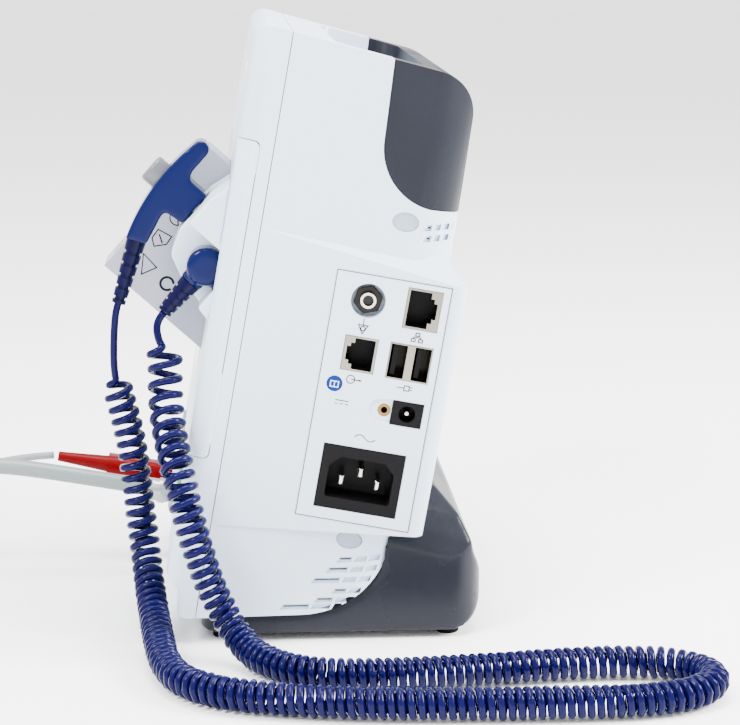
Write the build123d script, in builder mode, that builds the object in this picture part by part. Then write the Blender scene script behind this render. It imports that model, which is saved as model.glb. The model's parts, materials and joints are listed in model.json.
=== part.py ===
from build123d import *
import os
from math import cos, pi, radians, sin, tan

# A bedside vital-signs monitor on its desk stand, with a contact thermometer on the
# front, its curly cord, an air hose and a sensor lead.  Millimetres, +Z up, the screen
# faces -Y and the socket side faces +X.  The origin is on the desk, under the
# middle of the object without its cords.

os.makedirs("parts", exist_ok=True)

# ---------------------------------------------------------------- driving dimensions
body_width = 165.0
body_top = 218.5            # height of the top front edge, up the lean from the monitor's foot
top_back_height = 212.0     # height of the top where it starts to round down at the back
back_depth = 66.0           # depth of the flat back
front_depth = -22.0         # depth of the screen face
seam_depth = -8.4           # joint between the front bezel and the rear housing
lean_angle = 10.0           # the monitor leans back by this much
foot_y = -28.6              # the monitor's foot, where its depth and height are zero
foot_z = 20.0
wall = 2.6                  # moulded walls
gap = 0.35                  # gap along a visible joint between two mouldings
seat_gap = 0.15             # clearance of a part seated in its opening
travel_gap = 0.4            # clearance round a part that moves

# port bay: the lower part of the housing flares outward to the back
bay_back = 72.8
bay_flare = 3.2             # degrees
bay_top_front = 143.6
bay_top_back = 133.5
bay_rim_back = 139.8        # where the sloping ledge meets the upper body at the back
bay_floor_front = 27.2
bay_floor_back = 35.9
bay_corner = 5.0

# stand
stand_y = 18.4              # the stand's middle, behind the origin
stand_width = 160.0
stand_length = 110.0
foot_height = 3.0
stand_rim = 39.0            # top of the stand's side walls

# thermometer pod on the front
pod_tilt = 32.0             # the probe points down into the monitor by this much
probe_x = 50.0
probe_d = -33.3             # where the probe's shaft meets the pod
probe_h = 142.6
rod_length = 95.0
rod_radius = 2.6
well_radius = 4.6

# cords
cord_wire = 3.0
coil_diameter = 12.6
hose_diameter = 7.0
lead_diameter = 3.2

# grey grip and finger pocket at the top of the back
grip_edge = 32.0
grip_low = 160.8
pocket_front = 8.0
pocket_back = 43.0
pocket_width = 138.0
pocket_floor = 176.0
pocket_wall = 2.2

# front panel that wraps round the sides
panel_edge = -13.8
panel_low = 52.5
panel_high = 175.0

# plug seats and louvres on both sides of the housing
plug_recess = 1.5
plug_length = 10.2
plug_height = 7.3
louvre_depth = 1.3
louvre_reach = 9.0          # how far in from the flat side their recesses and slits are cut
louvre_height = 2.3
louvre_slit = 0.7
louvre_bar = 1.1
# each row: depth and height of its front end, and the length of each opening
louvre_rows = (
    (53.0, 153.4, (2.6, 2.4, 2.4, 2.2)),
    (53.4, 149.3, (2.6, 2.4, 2.4, 2.2)),
    (42.6, 21.0, (5.4, 4.6, 4.2)),
    (39.2, 16.3, (7.9, 4.8, 4.4)),
    (34.2, 11.2, (10.6, 5.2, 4.6)),
    (42.7, 8.2, (5.2, 4.6)),
    (36.6, 3.6, (6.8, 7.2)),
    (24.0, -1.2, (10.8, 7.2, 3.2)),
)

# sockets on the bay's side: depth and height of each centre, then its width and height
label_centre = (44.7, 85.0)
label_width = 44.7
label_length = 97.0
label_thickness = 0.3
inlet_place = (44.9, 53.8)
inlet_width = 31.6
inlet_height = 25.0
network_place = (57.0, 123.0)
network_width = 13.2
network_height = 15.4
call_place = (36.3, 102.2)
call_width = 12.5
call_height = 13.3
usb_place = (55.5, 102.1)
usb_width = 16.1
usb_height = 13.8
power_place = (58.1, 82.4)
power_width = 11.8
power_height = 9.4
port_openings = (
    (inlet_place, inlet_width, inlet_height),
    (network_place, network_width, network_height),
    (call_place, call_width, call_height),
    (usb_place, usb_width, usb_height),
    (power_place, power_width, power_height),
)
insert_place = (49.3, 82.6)
insert_seat = (12.0, 8.6)   # length and height of the slot the insert sits in
insert_seat_shift = 0.2
insert_recess = 0.9
insert_radius = 2.4
insert_bore = 1.25
insert_length = 6.0
ground_place = (36.1, 123.0)
ground_recess = 8.0
ground_cup_radius = 6.6
ground_stud_radius = 2.5

# battery door on the back of the bay
door_x = -10.0
door_width = 70.0
door_low = 70.0
door_high = 126.0
hinge_place = (70.6, 72.2)  # depth and height of the door's hinge
hinge_radius = 2.2
hinge_pin_radius = 1.1
hinge_lug = 4.0

# case screws behind the rubber plugs: depth and height
screw_places = ((45.0, 154.5), (45.2, 29.5))
screw_radius = 1.5
screw_head_radius = 2.8
head_room = 2.6
screw_boss_radius = 5.0
screw_boss_length = 12.0

# screen and keys on the front: across, height
lens_x = -39.0
lens_width = 66.0
lens_low = 62.0
lens_high = 166.0
lens_thickness = 1.8
lens_ledge = 2.5
key_radius = 7.0
key_height_row = 34.0
key_columns = (-50.0, -26.0, -2.0)
key_names = ("menu_key", "alarm_key", "pressure_key")
power_key_x = 62.0
power_key_radius = 8.5
key_proud = 1.2
hose_socket_x = -20.0
hose_socket_h = 11.3
hose_socket_radius = 7.0
lead_socket_x = -42.0
lead_socket_h = 13.8
lead_socket_radius = 6.2

alarm_light_h = 196.0
alarm_light_width = 56.0
alarm_light_height = 9.0

# thermometer: sizes along the probe (a) and up the handle (b)
well_wall = 1.4
well_flange = 8.0
pod_near = 76.0
pod_far = 32.0
pod_wall = 2.0
pod_plug_wall_x = 58.5
plug_x = 68.0
plug_seat_a = 24.0
plug_axis_b = -12.0
plug_radius = 7.4
plug_barrel = 5.5
button_radius = 5.6
button_b = 0.6
button_front = -23.7
button_travel = 3.0
handle_thickness = 15.0
box_x = 17.4
box_width = 25.0
box_front = -10.5
box_length = 85.0
box_low = -43.3
box_high = 19.7
box_card = 0.9
box_gap = 0.6

half_width = body_width / 2
lean = radians(lean_angle)
tilt = radians(pod_tilt)

# ---------------------------------------------------------------- directions and planes
rearward = Vector(0, cos(lean), -sin(lean))
upward = Vector(0, sin(lean), cos(lean))
outward = Vector(1, 0, 0)
monitor_foot = Vector(0, foot_y, foot_z)


def at(x, d, h):
    """A point of the leaning monitor: x across, d depth, h height."""
    return monitor_foot + outward * x + rearward * d + upward * h


deck = Plane(origin=monitor_foot, x_dir=outward, z_dir=upward)
side = Plane(origin=monitor_foot, x_dir=rearward, z_dir=outward)
front = Plane(origin=monitor_foot, x_dir=outward, z_dir=rearward * -1)
back = Plane(origin=monitor_foot, x_dir=outward * -1, z_dir=rearward)

probe_in = rearward * cos(tilt) - upward * sin(tilt)
probe_up = rearward * sin(tilt) + upward * cos(tilt)
probe_seat = at(probe_x, probe_d, probe_h)
# side view of the pod: first axis along the probe inward, second axis up along the handle
pod_side = Plane(origin=probe_seat, x_dir=probe_in, z_dir=outward)
pod_face = Plane(origin=probe_seat, x_dir=outward, z_dir=probe_in * -1)

flare = radians(bay_flare)
bay_run = Vector(sin(flare), cos(flare) * cos(lean), -cos(flare) * sin(lean))
bay_out = Vector(cos(flare), -sin(flare) * cos(lean), sin(flare) * sin(lean))
bay_origin = at(half_width - seam_depth * tan(flare), 0, 0)
# the socket side of the port bay: first axis is depth, second is height
bay_side = Plane(origin=bay_origin, x_dir=bay_run, z_dir=bay_out)
bay_edge_x = half_width + (bay_back - seam_depth) * tan(flare)


# ---------------------------------------------------------------- shapes used more than once
def body_shape(inset):
    """The closed outer shape of the monitor's body, drawn in by inset on all sides."""
    top_back = (63.6, top_back_height - 1.3)
    low_back = (54.7, 1.3)
    low_front = (front_depth + 6, -12.3)
    with BuildPart() as shape:
        with BuildSketch(side):
            with BuildLine():
                Polyline(
                    (front_depth, body_top), top_back, (back_depth, 140), (back_depth, 40),
                    low_back, low_front, (front_depth + 6, -1), (front_depth, 4), close=True,
                )
            make_face()
            if inset:
                offset(amount=-inset, kind=Kind.INTERSECTION)
            for corner, radius in (
                ((front_depth, body_top), 6), (top_back, 17), (low_back, 38), (low_front, 4),
            ):
                fillet(vertices().sort_by_distance(corner)[0], radius - inset)
        extrude(amount=half_width - inset, both=True)
        with BuildSketch(deck.offset(-60)):
            with Locations((0, (front_depth + back_depth) / 2)):
                Rectangle(body_width - 2 * inset, back_depth - front_depth - 2 * inset)
            fillet(vertices().sort_by(Axis.Y)[2:], 17 - inset)
            fillet(vertices().sort_by(Axis.Y)[:2], 7 - inset)
        extrude(amount=320, mode=Mode.INTERSECT)
    return shape.part


def bay_shape(inset):
    """The wedge of the port bay: wider towards the back, with a ledge that slopes all round."""
    with BuildPart() as shape:
        with BuildSketch(deck.offset(10)):
            with BuildLine():
                Polyline(
                    (-half_width, seam_depth), (-bay_edge_x, bay_back),
                    (bay_edge_x, bay_back), (half_width, seam_depth), close=True,
                )
            make_face()
            fillet(vertices().sort_by(Axis.Y)[2:], bay_corner)
            if inset:
                offset(amount=-inset, kind=Kind.INTERSECTION)
        extrude(amount=150)
        for sign in (1, -1):
            ledge = Plane(
                origin=at(sign * half_width, seam_depth, bay_top_front - inset * 1.6),
                x_dir=rearward * (bay_back - seam_depth) - upward * (bay_top_front - bay_top_back)
                + outward * sign * (bay_edge_x - half_width),
                z_dir=(rearward * (bay_back - seam_depth) - upward * (bay_top_front - bay_top_back)
                       + outward * sign * (bay_edge_x - half_width)).cross(
                    rearward * (back_depth - seam_depth) - upward * (bay_top_front - bay_rim_back))
                * sign,
            )
            keep = Keep.BOTTOM if ledge.z_dir.dot(upward) > 0 else Keep.TOP
            split(bisect_by=ledge, keep=keep)
        back_ledge = Plane(
            origin=at(0, back_depth, bay_rim_back - inset * 1.6), x_dir=outward,
            z_dir=rearward * (bay_rim_back - bay_top_back) + upward * (bay_back - back_depth),
        )
        split(bisect_by=back_ledge, keep=Keep.BOTTOM)
        floor = Plane(
            origin=at(0, seam_depth, bay_floor_front + inset), x_dir=outward,
            z_dir=upward * (bay_back - seam_depth) - rearward * (bay_floor_back - bay_floor_front),
        )
        split(bisect_by=floor, keep=Keep.TOP)
    return shape.part


def grip_zone(clearance):
    """Everything inside the grey grip's outline, seen from the side, grown by clearance."""
    with BuildPart() as zone:
        with BuildSketch(side):
            with BuildLine():
                Line((29, 250), (grip_edge, 184))
                ThreePointArc((grip_edge, 184), (39, 167.5), (54, grip_low))
                Line((54, grip_low), (90, grip_low))
                Line((90, grip_low), (90, 250))
                Line((90, 250), (29, 250))
            make_face()
            if clearance:
                offset(amount=clearance)
        extrude(amount=120, both=True)
    return zone.part


def pocket_block(grow):
    """The finger pocket in the top, grown by grow on its sides and floor."""
    with BuildPart() as block:
        with BuildSketch(deck.offset(pocket_floor - grow)):
            with Locations((0, (pocket_front + pocket_back) / 2)):
                RectangleRounded(
                    pocket_width + 2 * grow, pocket_back - pocket_front + 2 * grow, 9 + grow,
                )
        extrude(amount=80)
    return block.part


def panel_zone(clearance):
    """The front panel's share of the body: it wraps round both sides to its edge."""
    with BuildPart() as zone:
        with BuildSketch(side):
            with Locations(((panel_edge - 60 + clearance) / 2, (panel_low + panel_high) / 2)):
                Rectangle(panel_edge + 60 + clearance, panel_high - panel_low + 2 * clearance)
            fillet(vertices().sort_by(Axis.X)[-2:], 2.5)
        extrude(amount=120, both=True)
    return zone.part


def seam_cut(depth):
    """The plane across the monitor at a depth, facing the back."""
    return Plane(origin=at(0, depth, 0), x_dir=outward, z_dir=rearward)


def ribbed_boot(plane, root_radius, tip_radius, length, ribs):
    """A tapered strain relief on a plane, with ring grooves cut between its ribs."""
    with BuildPart() as boot:
        with BuildSketch(plane):
            Circle(root_radius)
        with BuildSketch(plane.offset(length)):
            Circle(tip_radius)
        loft()
        pitch = length / (ribs + 0.6)
        for rib in range(1, ribs + 1):
            middle = rib * pitch
            local_radius = root_radius + (tip_radius - root_radius) * middle / length
            with BuildSketch(plane.offset(middle)):
                Circle(local_radius + 1)
                Circle(local_radius - 0.8, mode=Mode.SUBTRACT)
            extrude(amount=pitch * 0.3, mode=Mode.SUBTRACT)
    return boot.part


def corner_radii(points):
    """Each corner's arc: 0.45 of its shorter run over the tangent of half the turn."""
    radii = []
    for before, corner, after in zip(points, points[1:], points[2:]):
        run_in = Vector(*corner) - Vector(*before)
        run_out = Vector(*after) - Vector(*corner)
        half_turn = radians(run_in.get_angle(run_out)) / 2
        radii.append(0.45 * min(run_in.length, run_out.length) / tan(half_turn))
    return radii


def cord_tube(points, diameter, name):
    """A round cord along straight runs joined by tangent arcs."""
    radii = corner_radii(points)
    with BuildPart() as tube:
        with BuildLine() as route:
            FilletPolyline(*points, radius=radii)
        middle_line = route.wires()[0]
        with BuildSketch(Plane(origin=middle_line @ 0, z_dir=middle_line % 0)):
            Circle(diameter / 2)
        sweep(path=middle_line)
    length = middle_line.length
    section = pi * diameter**2 / 4
    print(f"{name}: length {length:.0f}, smallest radius {min(radii):.1f}, "
          f"volume over section times length {tube.part.volume / section / length:.4f}")
    print("  radii", " ".join(f"{radius:.0f}" for radius in radii))
    return tube.part


def finish(built, name):
    """Names a finished piece and writes it."""
    built.part.label = name
    export_step(built.part, f"parts/{name}.step")


# ---------------------------------------------------------------- rear housing
body_outer = body_shape(0)
body_inner = body_shape(wall)
bay_outer = bay_shape(0)
bay_inner = bay_shape(wall)

with BuildPart() as side_cuts:
    # louvres and plug seats of the socket side; mirrored for the other side
    # the recesses follow the rounded corner, so they stop at a body drawn in by their depth
    with BuildSketch(side.offset(half_width - louvre_reach)):
        for row_d, row_h, lengths in louvre_rows:
            run = 0.0
            for length in lengths:
                middle = run + length / 2
                with Locations((row_d + middle * cos(lean), row_h + middle * sin(lean))):
                    Polygon(
                        (-length / 2 - 1, -louvre_height / 2), (length / 2 - 0.6, -louvre_height / 2),
                        (length / 2, louvre_height / 2), (-length / 2 + 0.4, louvre_height / 2),
                        rotation=lean_angle, align=None,
                    )
                run += length + louvre_bar
    extrude(amount=louvre_reach + 2)
    add(body_shape(louvre_depth), mode=Mode.SUBTRACT)
    with BuildSketch(side.offset(half_width - plug_recess)):
        with Locations((45, 154.5)):
            Ellipse(plug_length / 2, plug_height / 2)
        with Locations((45.2, 29.5)):
            Ellipse(plug_length / 2, plug_height / 2)
    extrude(amount=plug_recess + 0.1)
    # the slit through the wall is at the front end of each row
    with BuildSketch(side.offset(half_width - louvre_reach)):
        for row_d, row_h, lengths in louvre_rows:
            middle = lengths[0] / 2
            with Locations((row_d + middle * cos(lean), row_h + middle * sin(lean))):
                Rectangle(lengths[0] - 1.4, louvre_slit, rotation=lean_angle)
    extrude(amount=louvre_reach + 1)

with BuildPart() as port_cuts:
    # openings through the bay's socket side
    with BuildSketch(bay_side.offset(-label_thickness)):
        with Locations(label_centre):
            RectangleRounded(label_width, label_length, 1)
    extrude(amount=3)
    with BuildSketch(bay_side.offset(-wall - 6)):
        for centre, width, height in port_openings:
            with Locations(centre):
                Rectangle(width + 2 * seat_gap, height + 2 * seat_gap)
    extrude(amount=wall + 8)
    with BuildSketch(bay_side.offset(-insert_recess)):
        with Locations((insert_place[0] + insert_seat_shift, insert_place[1])):
            SlotOverall(*insert_seat)
    extrude(amount=insert_recess + 1)
    with BuildSketch(bay_side.offset(-ground_recess)):
        with Locations(ground_place):
            Circle(ground_cup_radius)
    extrude(amount=ground_recess + 1)

with BuildPart() as rear_housing:
    add(body_outer)
    add(bay_outer)
    add(body_inner, mode=Mode.SUBTRACT)
    add(bay_inner, mode=Mode.SUBTRACT)
    # finger pocket, cup of the earth terminal, boss of the threaded insert
    add(pocket_block(pocket_wall) & body_outer)
    with BuildSketch(bay_side.offset(-ground_recess - 1.6)):
        with Locations(ground_place):
            Circle(ground_cup_radius + 1.6)
    extrude(amount=ground_recess + 1)
    with BuildSketch(bay_side.offset(-insert_recess - insert_length)):
        with Locations(insert_place):
            Circle(insert_radius + 1.6)
    extrude(amount=insert_length + 0.2)
    # bosses of the case screws, two on each side
    for sign in (1, -1):
        with BuildSketch(side.offset(sign * (half_width - screw_boss_length))):
            for place in screw_places:
                with Locations(place):
                    Circle(screw_boss_radius)
        extrude(amount=sign * (screw_boss_length - 0.5))
    # lugs of the battery door's hinge
    with BuildSketch(side.offset(door_x)):
        with Locations(hinge_place):
            Rectangle(2 * hinge_radius, 2 * hinge_radius + 1)
    extrude(amount=door_width / 2 + travel_gap + hinge_lug, both=True)
    with BuildSketch(side.offset(door_x)):
        with Locations(hinge_place):
            Rectangle(2 * hinge_radius + 1, 2 * hinge_radius + 2)
    extrude(amount=door_width / 2 + travel_gap, both=True, mode=Mode.SUBTRACT)
    split(bisect_by=seam_cut(seam_depth + gap / 2), keep=Keep.TOP)
    add(pocket_block(0), mode=Mode.SUBTRACT)
    add(grip_zone(gap), mode=Mode.SUBTRACT)
    add(side_cuts.part, mode=Mode.SUBTRACT)
    add(side_cuts.part.mirror(Plane.YZ), mode=Mode.SUBTRACT)
    add(port_cuts.part, mode=Mode.SUBTRACT)
    with BuildSketch(bay_side.offset(-insert_recess - insert_length - 1)):
        with Locations(insert_place):
            Circle(insert_radius + seat_gap)
    extrude(amount=insert_length + 2, mode=Mode.SUBTRACT)
    with BuildSketch(bay_side.offset(-ground_recess - 3)):
        with Locations(ground_place):
            Circle(ground_stud_radius + seat_gap)
    extrude(amount=4, mode=Mode.SUBTRACT)
    # seats and holes of the case screws
    with BuildSketch(side):
        for place in screw_places:
            with Locations(place):
                Circle(screw_radius + 0.2)
    extrude(amount=half_width, both=True, mode=Mode.SUBTRACT)
    for sign in (1, -1):
        with BuildSketch(side.offset(sign * (half_width - plug_recess - head_room))):
            for place in screw_places:
                with Locations(place):
                    Circle(screw_head_radius + 0.2)
        extrude(amount=sign * (head_room + 0.1), mode=Mode.SUBTRACT)
    # hole of the hinge pin
    with BuildSketch(side.offset(door_x)):
        with Locations(hinge_place):
            Circle(hinge_pin_radius + seat_gap)
    extrude(amount=door_width / 2 + travel_gap + hinge_lug - 1, both=True, mode=Mode.SUBTRACT)
    # opening of the battery door
    with BuildSketch(back.offset(bay_back - 8)):
        with Locations((-door_x, (door_low + door_high) / 2)):
            Rectangle(door_width + 2 * travel_gap, door_high - door_low + 2 * travel_gap)
    extrude(amount=12, mode=Mode.SUBTRACT)
finish(rear_housing, "rear_housing")


# ---------------------------------------------------------------- grey grip
with BuildPart() as grip_cover:
    add(body_outer)
    add(body_inner, mode=Mode.SUBTRACT)
    add(pocket_block(pocket_wall) & body_outer)
    add(grip_zone(0), mode=Mode.INTERSECT)
    add(pocket_block(0), mode=Mode.SUBTRACT)
finish(grip_cover, "grip_cover")

# ---------------------------------------------------------------- plugs, label
with BuildPart() as screw_plugs:
    # rubber plugs over the four case screws, a little below the surface
    for side_sign in (1, -1):
        plug_plane = Plane(
            origin=at(side_sign * (half_width - plug_recess), 0, 0),
            x_dir=rearward * side_sign, z_dir=outward * side_sign,
        )
        with BuildSketch(plug_plane):
            with Locations((side_sign * 45, 154.5)):
                Ellipse(plug_length / 2 - seat_gap, plug_height / 2 - seat_gap)
            with Locations((side_sign * 45.2, 29.2)):
                Ellipse(plug_length / 2 - 2 * seat_gap, plug_height / 2 - 3 * seat_gap)
        extrude(amount=plug_recess - 0.6)
finish(screw_plugs, "screw_plugs")

with BuildPart() as port_label:
    # thin printed sheet round the sockets
    with BuildSketch(bay_side.offset(-label_thickness)):
        with Locations(label_centre):
            RectangleRounded(label_width - 2 * seat_gap, label_length - 2 * seat_gap, 1)
        for centre, width, height in port_openings:
            with Locations(centre):
                Rectangle(width + 2 * travel_gap, height + 2 * travel_gap, mode=Mode.SUBTRACT)
        with Locations((insert_place[0] + insert_seat_shift, insert_place[1])):
            SlotOverall(*insert_seat, mode=Mode.SUBTRACT)
        with Locations(ground_place):
            Circle(ground_cup_radius + seat_gap, mode=Mode.SUBTRACT)
    extrude(amount=label_thickness - 0.05)
finish(port_label, "port_label")

# ---------------------------------------------------------------- mains inlet
inlet_depth = 22.0
inlet_cavity = 17.0
with BuildPart() as mains_inlet:
    with BuildSketch(bay_side.offset(-0.4)):
        with Locations(inlet_place):
            Rectangle(inlet_width, inlet_height)
    extrude(amount=-inlet_depth)
    with BuildSketch(bay_side.offset(-0.4)):
        with Locations(inlet_place):
            Polygon(
                (-12.6, -8.1), (12.6, -8.1), (12.6, 4.2), (8.4, 8.1), (-8.4, 8.1), (-12.6, 4.2),
                align=None,
            )
        fillet(vertices(), 1.2)
    extrude(amount=-inlet_cavity, mode=Mode.SUBTRACT)
finish(mains_inlet, "mains_inlet")

with BuildPart() as mains_pins:
    # live and neutral side by side, earth a little higher between them
    with BuildSketch(bay_side.offset(-0.4 - inlet_cavity)):
        with Locations(inlet_place):
            with Locations((-7, -1.8), (7, -1.8), (0, 2.2)):
                Rectangle(2, 4)
    extrude(amount=13.5)
    chamfer(edges().filter_by(GeomType.LINE).group_by(Axis(bay_origin, bay_out))[-1], 0.5)
finish(mains_pins, "mains_pins")

# ---------------------------------------------------------------- network and call sockets
jack_depth = 16.0
jack_mouth_depth = 12.0


def jack_mouth(width, height, notch_sign):
    """Outline of a modular jack's opening, its latch steps towards notch_sign."""
    main = width * 0.62
    half = height * 0.45
    low = -notch_sign * (width / 2 - 0.9)
    with BuildSketch() as mouth:
        with BuildLine():
            edge = low + notch_sign * main
            Polyline(
                (low, -half), (low, half), (edge, half), (edge, half * 0.68),
                (edge + notch_sign * 1.4, half * 0.68), (edge + notch_sign * 1.4, half * 0.44),
                (edge + notch_sign * 2.7, half * 0.44), (edge + notch_sign * 2.7, -half * 0.44),
                (edge + notch_sign * 1.4, -half * 0.44), (edge + notch_sign * 1.4, -half * 0.68),
                (edge, -half * 0.68), (edge, -half), close=True,
            )
        make_face()
    return mouth.sketch


jacks = (
    (network_place, network_width, network_height, 1),
    (call_place, call_width, call_height, -1),
)
face_set = 0.35             # the sockets' faces lie this far below the bay's side
shield_wall = 0.5

with BuildPart() as jack_shields:
    with BuildSketch(bay_side.offset(-face_set)):
        for place, width, height, notch in jacks:
            with Locations(place):
                Rectangle(width, height)
    extrude(amount=-jack_depth)
    with BuildSketch(bay_side.offset(-face_set - shield_wall)):
        for place, width, height, notch in jacks:
            with Locations(place):
                Rectangle(width - 2 * shield_wall, height - 2 * shield_wall)
    extrude(amount=-jack_depth, mode=Mode.SUBTRACT)
    with BuildSketch(bay_side.offset(-face_set)):
        for place, width, height, notch in jacks:
            with Locations(place):
                add(jack_mouth(width, height, notch))
    extrude(amount=-2 * shield_wall, mode=Mode.SUBTRACT)
finish(jack_shields, "jack_shields")

with BuildPart() as jack_bodies:
    with BuildSketch(bay_side.offset(-face_set - shield_wall - 0.05)):
        for place, width, height, notch in jacks:
            with Locations(place):
                Rectangle(width - 2 * shield_wall - 0.2, height - 2 * shield_wall - 0.2)
    extrude(amount=-jack_depth + 1)
    with BuildSketch(bay_side.offset(-face_set)):
        for place, width, height, notch in jacks:
            with Locations(place):
                add(jack_mouth(width, height, notch))
    extrude(amount=-jack_mouth_depth, mode=Mode.SUBTRACT)
finish(jack_bodies, "jack_bodies")

# ---------------------------------------------------------------- twin USB socket
usb_depth = 14.0
usb_divider = 2.8
with BuildPart() as usb_shell:
    with BuildSketch(bay_side.offset(-0.35)):
        with Locations(usb_place):
            Rectangle(usb_width, usb_height)
    extrude(amount=-usb_depth)
    with BuildSketch(bay_side.offset(-0.35)):
        with Locations(usb_place):
            with GridLocations((usb_width + usb_divider) / 2 - 0.25, 1, 2, 1):
                Rectangle((usb_width - usb_divider) / 2 - 0.5, usb_height - 1)
    extrude(amount=-usb_depth + 1, mode=Mode.SUBTRACT)
finish(usb_shell, "usb_shell")

with BuildPart() as usb_tongues:
    with BuildSketch(bay_side.offset(-2.5)):
        with Locations(usb_place):
            with GridLocations((usb_width + usb_divider) / 2 - 0.25, 1, 2, 1):
                with Locations((-1.2, 0)):
                    Rectangle(1.8, usb_height - 2.4)
    extrude(amount=-usb_depth + 3.2)
finish(usb_tongues, "usb_tongues")

# ---------------------------------------------------------------- power outlet, insert, earth
with BuildPart() as power_outlet:
    with BuildSketch(bay_side.offset(-0.2)):
        with Locations(power_place):
            Rectangle(power_width, power_height)
    extrude(amount=-11)
    with BuildSketch(bay_side.offset(-0.2)):
        with Locations(power_place):
            Circle(3.2)
    extrude(amount=-9, mode=Mode.SUBTRACT)
finish(power_outlet, "power_outlet")

with BuildPart() as outlet_pin:
    with BuildSketch(bay_side.offset(-9.2)):
        with Locations(power_place):
            Circle(1.05)
    extrude(amount=7.5)
    fillet(edges().filter_by(GeomType.CIRCLE).sort_by(Axis(bay_origin, bay_out))[-1], 0.6)
finish(outlet_pin, "outlet_pin")

with BuildPart() as threaded_insert:
    with BuildSketch(bay_side.offset(-insert_recess - insert_length)):
        with Locations(insert_place):
            Circle(insert_radius)
            Circle(insert_bore, mode=Mode.SUBTRACT)
    extrude(amount=insert_length - 0.1)
finish(threaded_insert, "threaded_insert")

nut_height = 4.5
nut_flats = 10.0
terminal_radius = 3.0
terminal_top = -0.6
terminal_bore = 2.1
with BuildPart() as earth_nut:
    with BuildSketch(bay_side.offset(-ground_recess)):
        with Locations(ground_place):
            RegularPolygon(nut_flats / 2, 6, major_radius=False, rotation=20)
            Circle(ground_stud_radius + seat_gap, mode=Mode.SUBTRACT)
    extrude(amount=nut_height)
finish(earth_nut, "earth_nut")

with BuildPart() as earth_terminal:
    # round head with a blind bore, on a stud through the nut and the cup's floor
    with BuildSketch(bay_side.offset(terminal_top)):
        with Locations(ground_place):
            Circle(terminal_radius)
    extrude(amount=-(ground_recess - nut_height + terminal_top))
    with BuildSketch(bay_side.offset(nut_height - ground_recess)):
        with Locations(ground_place):
            Circle(ground_stud_radius)
    extrude(amount=-nut_height - 9)
    with BuildSketch(bay_side.offset(terminal_top)):
        with Locations(ground_place):
            Circle(terminal_bore)
    extrude(amount=-2.4, mode=Mode.SUBTRACT)
finish(earth_terminal, "earth_terminal")

# ---------------------------------------------------------------- front panel and bezel
key_places = [(x, key_height_row, key_radius) for x in key_columns]
key_places.append((power_key_x, key_height_row, power_key_radius))
lens_middle = (lens_x, (lens_low + lens_high) / 2)
lens_tall = lens_high - lens_low

with BuildPart() as box_room:
    # space for the box of probe covers and its holder
    with BuildSketch(pod_side.offset(box_x - probe_x - box_width / 2 - box_gap)):
        with Locations((box_front + box_length / 2 + 3, (box_low + box_high) / 2)):
            Rectangle(box_length + 6 + 2 * box_gap, box_high - box_low + 2 * box_gap)
    extrude(amount=box_width + 2 * box_gap)

with BuildPart() as front_panel:
    add(body_outer)
    add(body_inner, mode=Mode.SUBTRACT)
    add(panel_zone(0), mode=Mode.INTERSECT)
    split(bisect_by=seam_cut(panel_edge), keep=Keep.BOTTOM)
    # seat and window of the screen's lens
    with BuildSketch(front.offset(-front_depth)):
        with Locations(lens_middle):
            RectangleRounded(lens_width + 2 * seat_gap, lens_tall + 2 * seat_gap, 3)
    extrude(amount=-lens_thickness, mode=Mode.SUBTRACT)
    with BuildSketch(front.offset(-front_depth)):
        with Locations(lens_middle):
            Rectangle(lens_width - 2 * lens_ledge, lens_tall - 2 * lens_ledge)
    extrude(amount=-wall - 1, mode=Mode.SUBTRACT)
    # slot of the cover box, hole of the probe well, hole of the plug
    add(box_room.part, mode=Mode.SUBTRACT)
    with BuildSketch(pod_face):
        Circle(well_radius + well_wall + travel_gap)
    extrude(amount=-80, mode=Mode.SUBTRACT)
    with BuildSketch(pod_side.offset(pod_plug_wall_x - 1.1 - gap - probe_x)):
        with Locations((22.5, -12.5)):
            Rectangle(30, 23 + 2 * gap)
    extrude(amount=pod_near - pod_plug_wall_x + 1.1 + 2 * gap, mode=Mode.SUBTRACT)
finish(front_panel, "front_panel")

with BuildPart() as front_bezel:
    add(body_outer)
    add(body_inner, mode=Mode.SUBTRACT)
    split(bisect_by=seam_cut(seam_depth - gap / 2), keep=Keep.BOTTOM)
    add(panel_zone(gap), mode=Mode.SUBTRACT)
    # holes for the keys and sockets, and the alarm light's window
    with BuildSketch(front.offset(-front_depth - 5)):
        for x, height, radius in key_places:
            with Locations((x, height)):
                Circle(radius + travel_gap)
        with Locations((hose_socket_x, hose_socket_h)):
            Circle(hose_socket_radius + seat_gap)
        with Locations((lead_socket_x, lead_socket_h)):
            Circle(lead_socket_radius + seat_gap)
        with Locations((0, alarm_light_h)):
            RectangleRounded(alarm_light_width + 2 * seat_gap, alarm_light_height + 2 * seat_gap, 3.5)
    extrude(amount=8, mode=Mode.SUBTRACT)
finish(front_bezel, "front_bezel")

with BuildPart() as screen_lens:
    with BuildSketch(front.offset(-front_depth - 0.1)):
        with Locations(lens_middle):
            RectangleRounded(lens_width, lens_tall, 3)
    extrude(amount=-lens_thickness + 0.15)
    chamfer(edges().group_by(Axis(monitor_foot, rearward * -1))[-1], 0.3)
finish(screen_lens, "screen_lens")

with BuildPart() as display_module:
    with BuildSketch(front.offset(-front_depth - wall - 0.3)):
        with Locations(lens_middle):
            Rectangle(lens_width - 2, lens_tall - 2)
    extrude(amount=-6)
finish(display_module, "display_module")

with BuildPart() as alarm_light:
    with BuildSketch(front.offset(-front_depth - wall - 0.8)):
        with Locations((0, alarm_light_h)):
            RectangleRounded(alarm_light_width, alarm_light_height, 3.4)
    extrude(amount=wall + 1.4)
    fillet(edges().group_by(Axis(monitor_foot, rearward * -1))[-1], 0.8)
finish(alarm_light, "alarm_light")

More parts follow.
